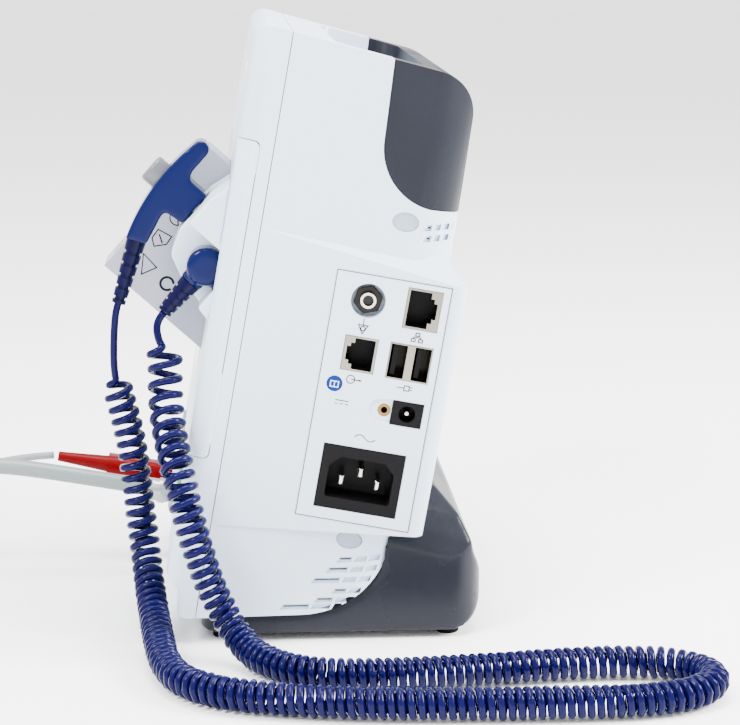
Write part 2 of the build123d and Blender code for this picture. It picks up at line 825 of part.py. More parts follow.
# ---------------------------------------------------------------- keys
key_board_depth = front_depth + wall + 6.0
switch_height = 3.4
for key_name, (key_x, key_h, radius) in zip(key_names + ("power_key",), key_places):
    with BuildPart() as key:
        with BuildSketch(front.offset(-front_depth + key_proud)):
            with Locations((key_x, key_h)):
                Circle(radius)
        extrude(amount=-key_proud - wall - 1.0)
        fillet(edges().group_by(Axis(monitor_foot, rearward * -1))[-1], 0.7)
        with BuildSketch(front.offset(-front_depth - wall - 0.6)):
            with Locations((key_x, key_h)):
                Circle(radius + 1.2)
        extrude(amount=-0.8)
    finish(key, key_name)

with BuildPart() as key_board:
    with BuildSketch(front.offset(-key_board_depth)):
        with Locations((0, key_height_row)):
            RectangleRounded(148, 22, 2)
    extrude(amount=-1.6)
    with BuildSketch(front.offset(-key_board_depth)):
        for x, height, radius in key_places:
            with Locations((x, height)):
                Circle(3)
    extrude(amount=switch_height)
finish(key_board, "key_board")

# ---------------------------------------------------------------- screws, battery
with BuildPart() as case_screws:
    for sign in (1, -1):
        with BuildSketch(side.offset(sign * (half_width - plug_recess - head_room))):
            for place in screw_places:
                with Locations(place):
                    Circle(screw_head_radius)
        extrude(amount=sign * (head_room - 0.4))
        with BuildSketch(side.offset(sign * (half_width - plug_recess - head_room))):
            for place in screw_places:
                with Locations(place):
                    Circle(screw_radius)
        extrude(amount=-sign * 8)
finish(case_screws, "case_screws")

with BuildPart() as battery_door:
    # the plate, with a barrel round the hinge pin along its lower edge and a finger lip on top
    with BuildSketch(side.offset(door_x)):
        with Locations((bay_back - wall / 2, (hinge_place[1] + door_high) / 2)):
            Rectangle(wall, door_high - hinge_place[1])
        with Locations(hinge_place):
            Circle(hinge_radius)
            Circle(hinge_pin_radius + seat_gap, mode=Mode.SUBTRACT)
    extrude(amount=door_width / 2, both=True)
    with BuildSketch(back.offset(bay_back)):
        with Locations((-door_x, door_high - 3)):
            SlotOverall(18, 5)
    extrude(amount=-1.2, mode=Mode.SUBTRACT)
    with BuildSketch(side.offset(door_x)):
        with Locations(hinge_place):
            Circle(hinge_pin_radius + seat_gap)
    extrude(amount=door_width / 2, both=True, mode=Mode.SUBTRACT)
finish(battery_door, "battery_door")

with BuildPart() as hinge_pin:
    with BuildSketch(side.offset(door_x)):
        with Locations(hinge_place):
            Circle(hinge_pin_radius)
    extrude(amount=door_width / 2 + hinge_lug - 1, both=True)
finish(hinge_pin, "hinge_pin")

with BuildPart() as battery_pack:
    with BuildSketch(back.offset(50)):
        with Locations((-door_x, 99.5)):
            RectangleRounded(64, 46, 3)
    extrude(amount=16)
finish(battery_pack, "battery_pack")

# ---------------------------------------------------------------- inside the monitor
with BuildPart() as main_board:
    with BuildSketch(back.offset(-7)):
        with Locations((38, 106)):
            Rectangle(72, 124)
    extrude(amount=1.6)
    with BuildSketch(back.offset(-5.4)):
        for chip_x, chip_h, chip_size in ((30, 130, 22), (52, 96, 16), (24, 86, 12), (50, 66, 14)):
            with Locations((chip_x, chip_h)):
                Rectangle(chip_size, chip_size)
    extrude(amount=2.4)
finish(main_board, "main_board")

with BuildPart() as power_supply:
    with BuildSketch(back.offset(4)):
        with Locations((37, 31)):
            Rectangle(60, 38)
    extrude(amount=38)
    chamfer(edges().filter_by(Axis.X), 1.5)
finish(power_supply, "power_supply")

with BuildPart() as air_pump:
    with BuildSketch(side.offset(-70)):
        with Locations((22, 82)):
            Circle(13)
    extrude(amount=30)
    with BuildSketch(side.offset(-40)):
        with Locations((22, 82)):
            RectangleRounded(24, 24, 3)
    extrude(amount=14)
    with BuildSketch(side.offset(-26)):
        with Locations((22, 90)):
            Circle(2.5)
    extrude(amount=7)
finish(air_pump, "air_pump")

# ---------------------------------------------------------------- stand
stand_half = stand_width / 2
stand_front = -55.0
stand_rear = 55.0
stand_gap = 0.4
stand_wall = 3.0
plate_top = 5.5
foot_radius = 4.5
foot_places = ((70, -46), (-70, -46), (70, 42), (-70, 42))
stand_screw_places = ((58, -12), (-58, -12), (58, 32), (-58, 32))
stand_screw_radius = 2.0
stand_screw_head = 3.6
desk = Plane(origin=(0, stand_y, 0), x_dir=(1, 0, 0), z_dir=(0, 0, 1))
stand_side = Plane(origin=(0, stand_y, 0), x_dir=(0, 1, 0), z_dir=(1, 0, 0))
rim_plane = Plane(
    origin=(0, stand_y + 37, 34.7), x_dir=(1, 0, 0), z_dir=(0, sin(radians(14.9)), cos(radians(14.9))),
)

neck_top = 56.8


def shoulder_slope(grow, slope):
    """A block on the rim plane, grown by grow at its base, whose sides slope inward."""
    with BuildPart() as block:
        with BuildSketch(rim_plane):
            with Locations((0, -54)):
                Rectangle(stand_width + 2 * grow, 140 + 2 * grow)
        extrude(amount=34, taper=slope)
    return block.part


with BuildPart() as stand_hollow:
    # the hollow inside the stand, open below
    with BuildSketch(stand_side):
        with BuildLine():
            Polyline(
                (stand_front + stand_wall, 0), (38, 0), (38, 7), (48, 11.5), (51.6, 17), (51, 24),
                (47, 31), (34, 35), (stand_front + stand_wall, 35), close=True,
            )
        make_face()
    extrude(amount=stand_half - stand_wall, both=True)
    with BuildSketch(desk):
        RectangleRounded(stand_width - 2 * stand_wall, stand_length - 2 * stand_wall, 11)
    extrude(amount=60, mode=Mode.INTERSECT)

with BuildPart() as stand_base:
    # foot of the stand: straight sides below the rim
    with BuildSketch(stand_side):
        with BuildLine():
            ThreePointArc((42.5, foot_height), (51.34, 6.66), (stand_rear, 15.5))
            Polyline(
                (stand_rear, 15.5), (stand_rear, 24.3), (53, 30.4), (20.9, 39), (-20, 39),
                (stand_front, 24), (stand_front, foot_height), (42.5, foot_height),
            )
        make_face()
    extrude(amount=stand_half, both=True)
    # shoulders that curve inward from the rim to the neck in three slopes
    add(shoulder_slope(0, 27) & shoulder_slope(2.4, 41) & shoulder_slope(13, 58))
    with BuildSketch(stand_side):
        with BuildLine():
            ThreePointArc((42.5, foot_height), (51.34, 6.66), (stand_rear, 15.5))
            Polyline(
                (stand_rear, 15.5), (stand_rear, neck_top), (stand_front, neck_top),
                (stand_front, foot_height), (42.5, foot_height),
            )
        make_face()
    extrude(amount=stand_half, both=True, mode=Mode.INTERSECT)
    with BuildSketch(desk):
        with Locations((0, 0)):
            RectangleRounded(stand_width, stand_length, 14)
    extrude(amount=80, mode=Mode.INTERSECT)
    add(stand_hollow.part, mode=Mode.SUBTRACT)
    # screw bosses
    with BuildSketch(desk.offset(plate_top)):
        with Locations(*stand_screw_places):
            Circle(5)
    extrude(amount=34)
with BuildPart() as saddle:
    with BuildSketch(desk.offset(plate_top)):
        RectangleRounded(stand_width, stand_length, 14)
    extrude(amount=34.7 - plate_top)
    add(body_shape(-stand_gap - stand_wall), mode=Mode.INTERSECT)
with BuildPart() as stand_whole:
    add(stand_base.part)
    add(saddle.part)
    add(body_shape(-stand_gap), mode=Mode.SUBTRACT)
    add(bay_shape(-stand_gap), mode=Mode.SUBTRACT)
    with BuildSketch(desk):
        RectangleRounded(stand_width, stand_length, 14)
    extrude(amount=80, mode=Mode.INTERSECT)
    with BuildSketch(desk.offset(foot_height)):
        with Locations(*stand_screw_places):
            Circle(stand_screw_radius - 0.2)
    extrude(amount=7, mode=Mode.SUBTRACT)
finish(stand_whole, "stand_base")

with BuildPart() as base_plate:
    with BuildSketch(desk.offset(foot_height)):
        with Locations((0, (stand_front + 38) / 2 + 1.2)):
            RectangleRounded(stand_width - 2 * stand_wall - 0.6, 93 - stand_wall - 1.0, 13)
    extrude(amount=plate_top - foot_height)
    with BuildSketch(desk.offset(foot_height)):
        with Locations(*stand_screw_places):
            Circle(stand_screw_head + 0.3)
    extrude(amount=1.5, mode=Mode.SUBTRACT)
    with BuildSketch(desk):
        with Locations(*stand_screw_places):
            Circle(stand_screw_radius + 0.2)
    extrude(amount=10, mode=Mode.SUBTRACT)
finish(base_plate, "base_plate")

with BuildPart() as stand_screws:
    with BuildSketch(desk.offset(foot_height + 0.2)):
        with Locations(*stand_screw_places):
            Circle(stand_screw_head)
    extrude(amount=1.3)
    with BuildSketch(desk.offset(foot_height + 1)):
        with Locations(*stand_screw_places):
            Circle(stand_screw_radius - 0.25)
    extrude(amount=5.5)
finish(stand_screws, "stand_screws")

with BuildPart() as stand_feet:
    with BuildSketch(desk):
        with Locations(*foot_places):
            Circle(foot_radius)
    extrude(amount=foot_height)
    chamfer(edges().group_by(Axis.Z)[0], 0.4)
finish(stand_feet, "stand_feet")


# ---------------------------------------------------------------- thermometer pod
def pod_point(a, b, x):
    """A point by its place along the probe, up the handle, and across."""
    return probe_seat + probe_in * a + probe_up * b + outward * (x - probe_x)


with BuildPart() as pod_housing:
    with BuildSketch(pod_side.offset(pod_far - probe_x)):
        with BuildLine():
            Polyline(
                (2.4, 17.5), (0, 9), (0, -9), (4, -19), (14, -23.5), (30.1, -26.8), (40, 17.5),
                close=True,
            )
        make_face()
        for corner, radius in (((0, 9), 6), ((0, -9), 6), ((4, -19), 5), ((14, -23.5), 6)):
            fillet(vertices().sort_by_distance(corner)[0], radius)
    extrude(amount=pod_near - pod_far)
    split(bisect_by=seam_cut(front_depth), keep=Keep.BOTTOM)
    # block behind the plug's recess, through the front panel
    with BuildSketch(pod_side.offset(pod_plug_wall_x - 1.1 - probe_x)):
        with Locations((22.5, -12.5)):
            Rectangle(17, 23)
    extrude(amount=pod_near - pod_plug_wall_x + 1.1)
    with BuildSketch(pod_side.offset(pod_plug_wall_x - probe_x)):
        with Locations(((plug_seat_a - 10) / 2, -26.5)):
            Rectangle(plug_seat_a + 10, 46)
    extrude(amount=30, mode=Mode.SUBTRACT)
    # moulded hollow beside the well
    with BuildSketch(pod_side.offset(pod_far + pod_wall - probe_x)):
        with BuildLine():
            Polyline((3.6, 14), (pod_wall, 7), (pod_wall, -7), (6, -17.4), (40, -24), (40, 14), close=True)
        make_face()
    extrude(amount=7, mode=Mode.SUBTRACT)
    with BuildSketch(pod_face):
        Circle(well_flange + seat_gap)
    extrude(amount=-2.2, mode=Mode.SUBTRACT)
    with BuildSketch(pod_face):
        Circle(well_radius + well_wall + seat_gap)
    extrude(amount=-60, mode=Mode.SUBTRACT)
    with BuildSketch(pod_face):
        with Locations((plug_x - probe_x, plug_axis_b)):
            Circle(plug_barrel + seat_gap)
    extrude(amount=-60, mode=Mode.SUBTRACT)
finish(pod_housing, "pod_housing")

with BuildPart() as isolation_chamber:
    with BuildSketch(pod_face.offset(-0.3)):
        Circle(well_flange)
    extrude(amount=-1.8)
    with BuildSketch(pod_face.offset(-0.3)):
        Circle(well_radius + well_wall)
    extrude(amount=-rod_length - 3)
    with BuildSketch(pod_face):
        Circle(well_radius)
    extrude(amount=-rod_length - 1.5, mode=Mode.SUBTRACT)
finish(isolation_chamber, "isolation_chamber")

with BuildPart() as probe_handle:
    with BuildSketch(pod_side):
        with BuildLine():
            ThreePointArc((-12.9, -26.0), (-18.4, 2), (-17.2, 18.5))
            ThreePointArc((-17.2, 18.5), (-14, 22.3), (-10.6, 19))
            Polyline(
                (-10.6, 19), (-10.6, 10.2), (-9.3, 7.4), (-0.3, 7.2), (-0.3, -7.2), (-8, -8.2),
                (-8.4, -10), (-5.4, -22.46), (-12.9, -26.0),
            )
        make_face()
    extrude(amount=handle_thickness / 2, both=True)
    with BuildSketch(pod_face.offset(30)):
        with Locations((0, button_b)):
            Circle(button_radius + travel_gap)
    extrude(amount=-30 + 12.5, mode=Mode.SUBTRACT)
finish(probe_handle, "probe_handle")

with BuildPart() as probe_shaft:
    with BuildSketch(pod_face.offset(0.3)):
        Circle(rod_radius)
    extrude(amount=-rod_length)
    fillet(edges().filter_by(GeomType.CIRCLE).sort_by(Axis(probe_seat, probe_in))[-1], rod_radius - 0.3)
finish(probe_shaft, "probe_shaft")

with BuildPart() as eject_button:
    with BuildSketch(pod_face.offset(-button_front)):
        with Locations((0, button_b)):
            Circle(button_radius)
    extrude(amount=button_front + 16.5)
    fillet(edges().filter_by(GeomType.CIRCLE).sort_by(Axis(probe_seat, probe_in))[0], 1.2)
finish(eject_button, "eject_button")

boot_along = (probe_in * 11.1 - probe_up * 23.6).normalized()
boot_start = pod_point(-9.1, -24.2, probe_x) + boot_along * 0.1
probe_boot_length = 26.0
probe_boot_plane = Plane(origin=boot_start, x_dir=outward, z_dir=boot_along)
with BuildPart() as probe_boot:
    add(ribbed_boot(probe_boot_plane, 3.9, 2.7, probe_boot_length, 5))
finish(probe_boot, "probe_boot")

with BuildPart() as probe_plug:
    # round head with a barrel into the pod and a collar for the boot
    with BuildSketch(pod_side.offset(plug_x - 6.5 - probe_x)):
        with Locations((16, plug_axis_b)):
            Circle(plug_radius)
    extrude(amount=13)
    fillet(edges().filter_by(GeomType.CIRCLE), 2.0)
    with BuildSketch(pod_face.offset(-18)):
        with Locations((plug_x - probe_x, plug_axis_b)):
            Circle(plug_barrel)
    extrude(amount=-15)
    with BuildSketch(Plane(origin=pod_point(16, plug_axis_b, plug_x), x_dir=outward, z_dir=probe_up * -1)):
        Circle(4.6)
    extrude(amount=plug_radius + 1.6)
finish(probe_plug, "probe_plug")

plug_boot_start = pod_point(16, plug_axis_b - plug_radius - 1.6, plug_x)
plug_boot_length = 15.0
plug_boot_plane = Plane(origin=plug_boot_start, x_dir=outward, z_dir=probe_up * -1)
with BuildPart() as plug_boot:
    add(ribbed_boot(plug_boot_plane, 4.2, 2.9, plug_boot_length, 4))
finish(plug_boot, "plug_boot")

# ---------------------------------------------------------------- probe covers
cover_radius = 4.4
cover_length = 78.0
cover_rows = 6
cover_pitch_x = 11.0
cover_pitch_b = 10.3
box_middle_b = (box_low + box_high) / 2
box_middle = Plane(origin=pod_point(box_front, box_middle_b, box_x), x_dir=outward, z_dir=probe_in * -1)

with BuildPart() as cover_box:
    with BuildSketch(box_middle):
        Rectangle(box_width, box_high - box_low)
    extrude(amount=-box_length)
    with BuildSketch(box_middle.offset(-box_card)):
        Rectangle(box_width - 2 * box_card, box_high - box_low - 2 * box_card)
    extrude(amount=-box_length + 2 * box_card, mode=Mode.SUBTRACT)
    with BuildSketch(box_middle):
        with GridLocations(cover_pitch_x, cover_pitch_b, 2, cover_rows):
            Circle(cover_radius + 0.3)
    extrude(amount=-box_card, mode=Mode.SUBTRACT)
finish(cover_box, "cover_box")

with BuildPart() as probe_covers:
    with BuildSketch(box_middle.offset(-0.2)):
        with GridLocations(cover_pitch_x, cover_pitch_b, 2, cover_rows):
            Circle(cover_radius)
    extrude(amount=-cover_length)
    with BuildSketch(box_middle.offset(-0.2)):
        with GridLocations(cover_pitch_x, cover_pitch_b, 2, cover_rows):
            Circle(cover_radius - 0.5)
    extrude(amount=-cover_length + 1, mode=Mode.SUBTRACT)
finish(probe_covers, "probe_covers")

holder_wall = 1.4
with BuildPart() as box_holder:
    with BuildSketch(box_middle.offset(-4)):
        Rectangle(box_width + 2 * box_gap + 2 * holder_wall,
                  box_high - box_low + 2 * box_gap + 2 * holder_wall)
    extrude(amount=-box_length)
    add(body_shape(wall + 0.1), mode=Mode.INTERSECT)
    add(box_room.part, mode=Mode.SUBTRACT)
finish(box_holder, "box_holder")

# ---------------------------------------------------------------- curly cord
cord_lie = coil_diameter / 2 + 0.1   # height of its middle where it lies on the desk
probe_tail_start = boot_start + boot_along * (probe_boot_length + 0.3)
plug_tail_start = plug_boot_start - probe_up * (plug_boot_length + 0.3)
curly_points = [
    (50, -68.6, 96), (50, -63.4, 77), (50.5, -60.6, 50), (55, -58.1, 28), (72, -55.6, 14.5),
    (98, -52.6, 8.6), (122, -49.8, cord_lie), (143, -43.1, cord_lie), (157, -28.6, cord_lie),
    (165, -6.6, cord_lie), (171, 26.4, cord_lie), (173, 58.4, cord_lie), (174.3, 93.4, cord_lie),
    (173.8, 120, cord_lie), (168, 139.5, cord_lie), (155.5, 149.8, cord_lie),
    (143, 148.2, cord_lie), (133.8, 137, cord_lie), (130.8, 119, cord_lie), (132, 97.4, cord_lie),
    (136.5, 68.4, cord_lie), (140.2, 33.4, cord_lie), (138.5, 6.4, cord_lie),
    (127.5, -9.6, cord_lie), (109, -19.6, 7), (100.5, -27.6, 18), (99.6, -34.1, 33),
    (99.5, -40.1, 54), (94.5, -44.1, 72), (81.5, -47.6, 85), (73.5, -49.1, 97), (70, -48.1, 112.3),
]
probe_tail_points = [tuple(probe_tail_start), (50, -69.6, 106), (50, -68.8, 96.5)]
plug_tail_points = [
    tuple(plug_tail_start), (68, -52.2, 125), (69.6, -51.4, 118), (70, -48.6, 113.4),
]

with BuildPart() as curly_cord:
    add(cord_tube(curly_points, coil_diameter, "curly_cord"))
finish(curly_cord, "curly_cord")
with BuildPart() as probe_tail:
    add(cord_tube(probe_tail_points, cord_wire, "probe_tail"))
finish(probe_tail, "probe_tail")
with BuildPart() as plug_tail:
    add(cord_tube(plug_tail_points, cord_wire, "plug_tail"))
finish(plug_tail, "plug_tail")


# ---------------------------------------------------------------- hose and lead
def outlet(x, h, reach):
    """A plane square to the front face, reach in front of it, facing out."""
    return Plane(origin=at(x, front_depth - reach, h), x_dir=outward, z_dir=rearward * -1)


with BuildPart() as hose_socket:
    with BuildSketch(outlet(hose_socket_x, hose_socket_h, -6)):
        Circle(hose_socket_radius)
    extrude(amount=8)
    with BuildSketch(outlet(hose_socket_x, hose_socket_h, -5)):
        Circle(3.6)
    extrude(amount=8, mode=Mode.SUBTRACT)
finish(hose_socket, "hose_socket")

with BuildPart() as hose_connector:
    with BuildSketch(outlet(hose_socket_x, hose_socket_h, -4)):
        Circle(3.4)
    extrude(amount=7)
    with BuildSketch(outlet(hose_socket_x, hose_socket_h, 2.4)):
        Circle(4.8)
    extrude(amount=9.6)
    with BuildSketch(outlet(hose_socket_x, hose_socket_h, 4.0)):
        Circle(5.4)
    extrude(amount=3)
finish(hose_connector, "hose_connector")

with BuildPart() as lead_socket:
    with BuildSketch(outlet(lead_socket_x, lead_socket_h, -6)):
        Circle(lead_socket_radius)
    extrude(amount=8)
    with BuildSketch(outlet(lead_socket_x, lead_socket_h, -5)):
        Circle(3.6)
    extrude(amount=8, mode=Mode.SUBTRACT)
finish(lead_socket, "lead_socket")

with BuildPart() as lead_plug:
    with BuildSketch(outlet(lead_socket_x, lead_socket_h, -4)):
        Circle(3.4)
    extrude(amount=7)
    with BuildSketch(outlet(lead_socket_x, lead_socket_h, 2.4)):
        RectangleRounded(12, 9, 3.5)
    extrude(amount=28)
    with BuildSketch(outlet(lead_socket_x, lead_socket_h, 30.4)):
        Circle(3.6)
    with BuildSketch(outlet(lead_socket_x, lead_socket_h, 52)):
        Circle(2.1)
    loft()
finish(lead_plug, "lead_plug")

hose_start = outlet(hose_socket_x, hose_socket_h, 12.4).origin
hose_coil_radius = 40.0
hose_coil_x = hose_socket_x + hose_coil_radius
hose_coil_y = -221.6
hose_ring_width = 3 * hose_diameter
hose_ring_height = 4 * hose_diameter
hose_rest = hose_ring_height + hose_diameter / 2 + 0.1
hose_points = [
    tuple(hose_start), (-20, -95.6, 44.1), (-20, -123.6, 48.4), (-20, -149.6, 48.2),
    (-20, -174.6, 42), (-20, -196.6, hose_rest + 2), (-20, -217.6, hose_rest),
]
with BuildPart() as air_hose:
    add(cord_tube(hose_points, hose_diameter, "air_hose"))
finish(air_hose, "air_hose")


def ring(x, y, middle_radius, width, height):
    """The outer shape of a coil of cord lying on the desk."""
    with BuildPart() as turns:
        with BuildSketch(Plane.XY):
            with Locations((x, y)):
                Circle(middle_radius + width / 2)
                Circle(middle_radius - width / 2, mode=Mode.SUBTRACT)
        extrude(amount=height)
        fillet(edges(), min(width, height) / 6)
    return turns.part


with BuildPart() as hose_coil:
    add(ring(hose_coil_x, hose_coil_y, hose_coil_radius, hose_ring_width, hose_ring_height))
finish(hose_coil, "hose_coil")

hose_end_y = hose_coil_y - hose_coil_radius - hose_diameter
hose_end_x = hose_coil_x + 28
with BuildPart() as hose_end:
    with BuildSketch(Plane(origin=(hose_end_x, hose_end_y, 5.5), x_dir=(0, 1, 0), z_dir=(1, 0, 0))):
        Circle(4.8)
    extrude(amount=10)
    with BuildSketch(Plane(origin=(hose_end_x + 2, hose_end_y, 5.5), x_dir=(0, 1, 0), z_dir=(1, 0, 0))):
        Circle(5.4)
    extrude(amount=4)
    with BuildSketch(Plane(origin=(hose_end_x + 10, hose_end_y, 5.5), x_dir=(0, 1, 0), z_dir=(1, 0, 0))):
        Circle(3.4)
        Circle(1.8, mode=Mode.SUBTRACT)
    extrude(amount=9)
finish(hose_end, "hose_end")

lead_start = outlet(lead_socket_x, lead_socket_h, 52.4).origin
lead_coil_radius = 18.5
lead_coil_x = lead_socket_x - lead_coil_radius
lead_coil_y = -187.6
lead_ring_width = 4 * lead_diameter
lead_ring_height = 5 * lead_diameter
lead_rest = lead_ring_height + lead_diameter / 2 + 0.1
lead_points = [
    tuple(lead_start), (-42, -115.6, 46.2), (-42, -133.6, 42), (-42, -151.6, 31),
    (-42, -167.6, lead_rest + 3), (-42, -184.6, lead_rest),
]
with BuildPart() as sensor_lead:
    add(cord_tube(lead_points, lead_diameter, "sensor_lead"))
finish(sensor_lead, "sensor_lead")

with BuildPart() as lead_coil:
    add(ring(lead_coil_x, lead_coil_y, lead_coil_radius, lead_ring_width, lead_ring_height))
finish(lead_coil, "lead_coil")

lead_end_y = lead_coil_y - lead_coil_radius - 1.5 * lead_diameter
lead_end_x = lead_coil_x - 14
with BuildPart() as lead_end:
    with BuildSketch(Plane(origin=(lead_end_x, lead_end_y, 4.0), x_dir=(0, -1, 0), z_dir=(-1, 0, 0))):
        Circle(2.2)
    with BuildSketch(Plane(origin=(lead_end_x - 14, lead_end_y, 4.0), x_dir=(0, -1, 0), z_dir=(-1, 0, 0))):
        Circle(3.9)
    loft()
    with BuildSketch(Plane(origin=(lead_end_x - 14, lead_end_y, 4.0), x_dir=(0, -1, 0), z_dir=(-1, 0, 0))):
        RectangleRounded(11, 7.8, 2.5)
    extrude(amount=16)
finish(lead_end, "lead_end")
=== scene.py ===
import bpy
import json
import math
import numpy as np
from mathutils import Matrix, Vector


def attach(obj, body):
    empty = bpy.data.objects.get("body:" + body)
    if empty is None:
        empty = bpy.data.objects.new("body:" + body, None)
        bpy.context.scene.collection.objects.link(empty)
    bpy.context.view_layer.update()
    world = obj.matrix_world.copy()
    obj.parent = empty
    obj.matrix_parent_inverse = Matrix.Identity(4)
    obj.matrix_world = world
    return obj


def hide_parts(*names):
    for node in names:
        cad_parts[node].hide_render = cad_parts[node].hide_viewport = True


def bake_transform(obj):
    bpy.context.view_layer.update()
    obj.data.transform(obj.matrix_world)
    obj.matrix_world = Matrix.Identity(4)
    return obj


# Looks of a bedside vital-signs monitor: its mouldings, sockets, thermometer, curly cord,
# air hose and sensor lead.  Metres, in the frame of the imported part.

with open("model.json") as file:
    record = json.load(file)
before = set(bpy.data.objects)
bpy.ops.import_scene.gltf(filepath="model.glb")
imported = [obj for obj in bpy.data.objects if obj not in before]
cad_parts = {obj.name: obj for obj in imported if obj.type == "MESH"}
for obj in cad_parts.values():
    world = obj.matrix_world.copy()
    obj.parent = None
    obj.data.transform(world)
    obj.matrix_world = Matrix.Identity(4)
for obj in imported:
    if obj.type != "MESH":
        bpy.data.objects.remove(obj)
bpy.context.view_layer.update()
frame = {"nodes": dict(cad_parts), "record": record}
nodes = frame["nodes"]

# ---------------------------------------------------------------- directions
lean = math.radians(10)
foot = np.array([0.0, -0.0286, 0.020])
rearward = np.array([0.0, math.cos(lean), -math.sin(lean)])
upward = np.array([0.0, math.sin(lean), math.cos(lean)])
outward = np.array([1.0, 0.0, 0.0])
flare = math.radians(3.2)
bay_run = math.sin(flare) * outward + math.cos(flare) * rearward
bay_out = math.cos(flare) * outward - math.sin(flare) * rearward


def at(x, d, h):
    """A point of the leaning monitor from millimetres across, deep and high."""
    return foot + (outward * x + rearward * d + upward * h) / 1000


bay_origin = at(82.5 + 8.4 * math.tan(flare), 0, 0)


def on_bay(u, v, lift):
    """A point on the socket side from millimetres along, up and out of it."""
    return bay_origin + (bay_run * u + upward * v + bay_out * lift) / 1000


# ---------------------------------------------------------------- shader groups
def new_group(name, inputs, outputs):
    """A shader group with float or colour sockets."""
    group = bpy.data.node_groups.new(name, "ShaderNodeTree")
    for socket, kind in inputs:
        group.interface.new_socket(socket, in_out="INPUT", socket_type=kind)
    for socket, kind in outputs:
        group.interface.new_socket(socket, in_out="OUTPUT", socket_type=kind)
    return group, group.nodes.new("NodeGroupInput"), group.nodes.new("NodeGroupOutput")


def make_surface_group():
    """Mottles a colour and a roughness a little and gives a fine grain as a normal."""
    group, start, end = new_group(
        "moulded_surface",
        [("Color", "NodeSocketColor"), ("Roughness", "NodeSocketFloat"),
         ("Mottle", "NodeSocketFloat"), ("Grain", "NodeSocketFloat"),
         ("Grain Scale", "NodeSocketFloat")],
        [("Color", "NodeSocketColor"), ("Roughness", "NodeSocketFloat"),
         ("Normal", "NodeSocketVector")],
    )
    new, link = group.nodes.new, group.links.new
    place = new("ShaderNodeTexCoord")
    broad = new("ShaderNodeTexNoise")
    broad.inputs["Scale"].default_value = 18
    broad.inputs["Detail"].default_value = 5
    link(place.outputs["Object"], broad.inputs["Vector"])
    fine = new("ShaderNodeTexNoise")
    fine.inputs["Detail"].default_value = 2
    link(place.outputs["Object"], fine.inputs["Vector"])
    link(start.outputs["Grain Scale"], fine.inputs["Scale"])
    spread = new("ShaderNodeMapRange")
    spread.inputs["From Min"].default_value = 0.3
    spread.inputs["From Max"].default_value = 0.7
    spread.inputs["To Min"].default_value = -1
    spread.inputs["To Max"].default_value = 1
    link(broad.outputs["Fac"], spread.inputs["Value"])
    amount = new("ShaderNodeMath")
    amount.operation = "MULTIPLY"
    link(spread.outputs["Result"], amount.inputs[0])
    link(start.outputs["Mottle"], amount.inputs[1])
    value = new("ShaderNodeMath")
    value.operation = "ADD"
    value.inputs[1].default_value = 1
    link(amount.outputs[0], value.inputs[0])
    tone = new("ShaderNodeHueSaturation")
    link(start.outputs["Color"], tone.inputs["Color"])
    link(value.outputs[0], tone.inputs["Value"])
    link(tone.outputs["Color"], end.inputs["Color"])
    rough = new("ShaderNodeMath")
    rough.operation = "ADD"
    link(start.outputs["Roughness"], rough.inputs[0])
    link(amount.outputs[0], rough.inputs[1])
    link(rough.outputs[0], end.inputs["Roughness"])
    bump = new("ShaderNodeBump")
    bump.inputs["Distance"].default_value = 0.0001
    link(start.outputs["Grain"], bump.inputs["Strength"])
    link(fine.outputs["Fac"], bump.inputs["Height"])
    link(bump.outputs["Normal"], end.inputs["Normal"])
    return group


def make_recess_shade_group():
    """Paints shade: darkens a colour below a level measured outward from the socket side, standing
    in for the shade deep in sockets and cups.
    """
    group, start, end = new_group(
        "painted_recess_shade", [("Color", "NodeSocketColor"), ("Level", "NodeSocketFloat")],
        [("Color", "NodeSocketColor")],
    )
    new, link = group.nodes.new, group.links.new
    place = new("ShaderNodeTexCoord")
    reach = new("ShaderNodeVectorMath")
    reach.operation = "DOT_PRODUCT"
    reach.inputs[1].default_value = tuple(bay_out)
    link(place.outputs["Object"], reach.inputs[0])
    below = new("ShaderNodeMath")
    below.operation = "SUBTRACT"
    link(reach.outputs["Value"], below.inputs[0])
    link(start.outputs["Level"], below.inputs[1])
    spread = new("ShaderNodeMapRange")
    spread.inputs["From Min"].default_value = -0.0007
    spread.inputs["From Max"].default_value = -0.0001
    link(below.outputs[0], spread.inputs["Value"])
    tone = new("ShaderNodeHueSaturation")
    tone.inputs["Saturation"].default_value = 1
    link(start.outputs["Color"], tone.inputs["Color"])
    dim = new("ShaderNodeMapRange")
    dim.inputs["To Min"].default_value = 0.03
    link(spread.outputs["Result"], dim.inputs["Value"])
    link(dim.outputs["Result"], tone.inputs["Value"])
    link(tone.outputs["Color"], end.inputs["Color"])
    return group


surface_group = make_surface_group()
recess_shade_group = make_recess_shade_group()
bay_level = float(bay_origin @ bay_out)


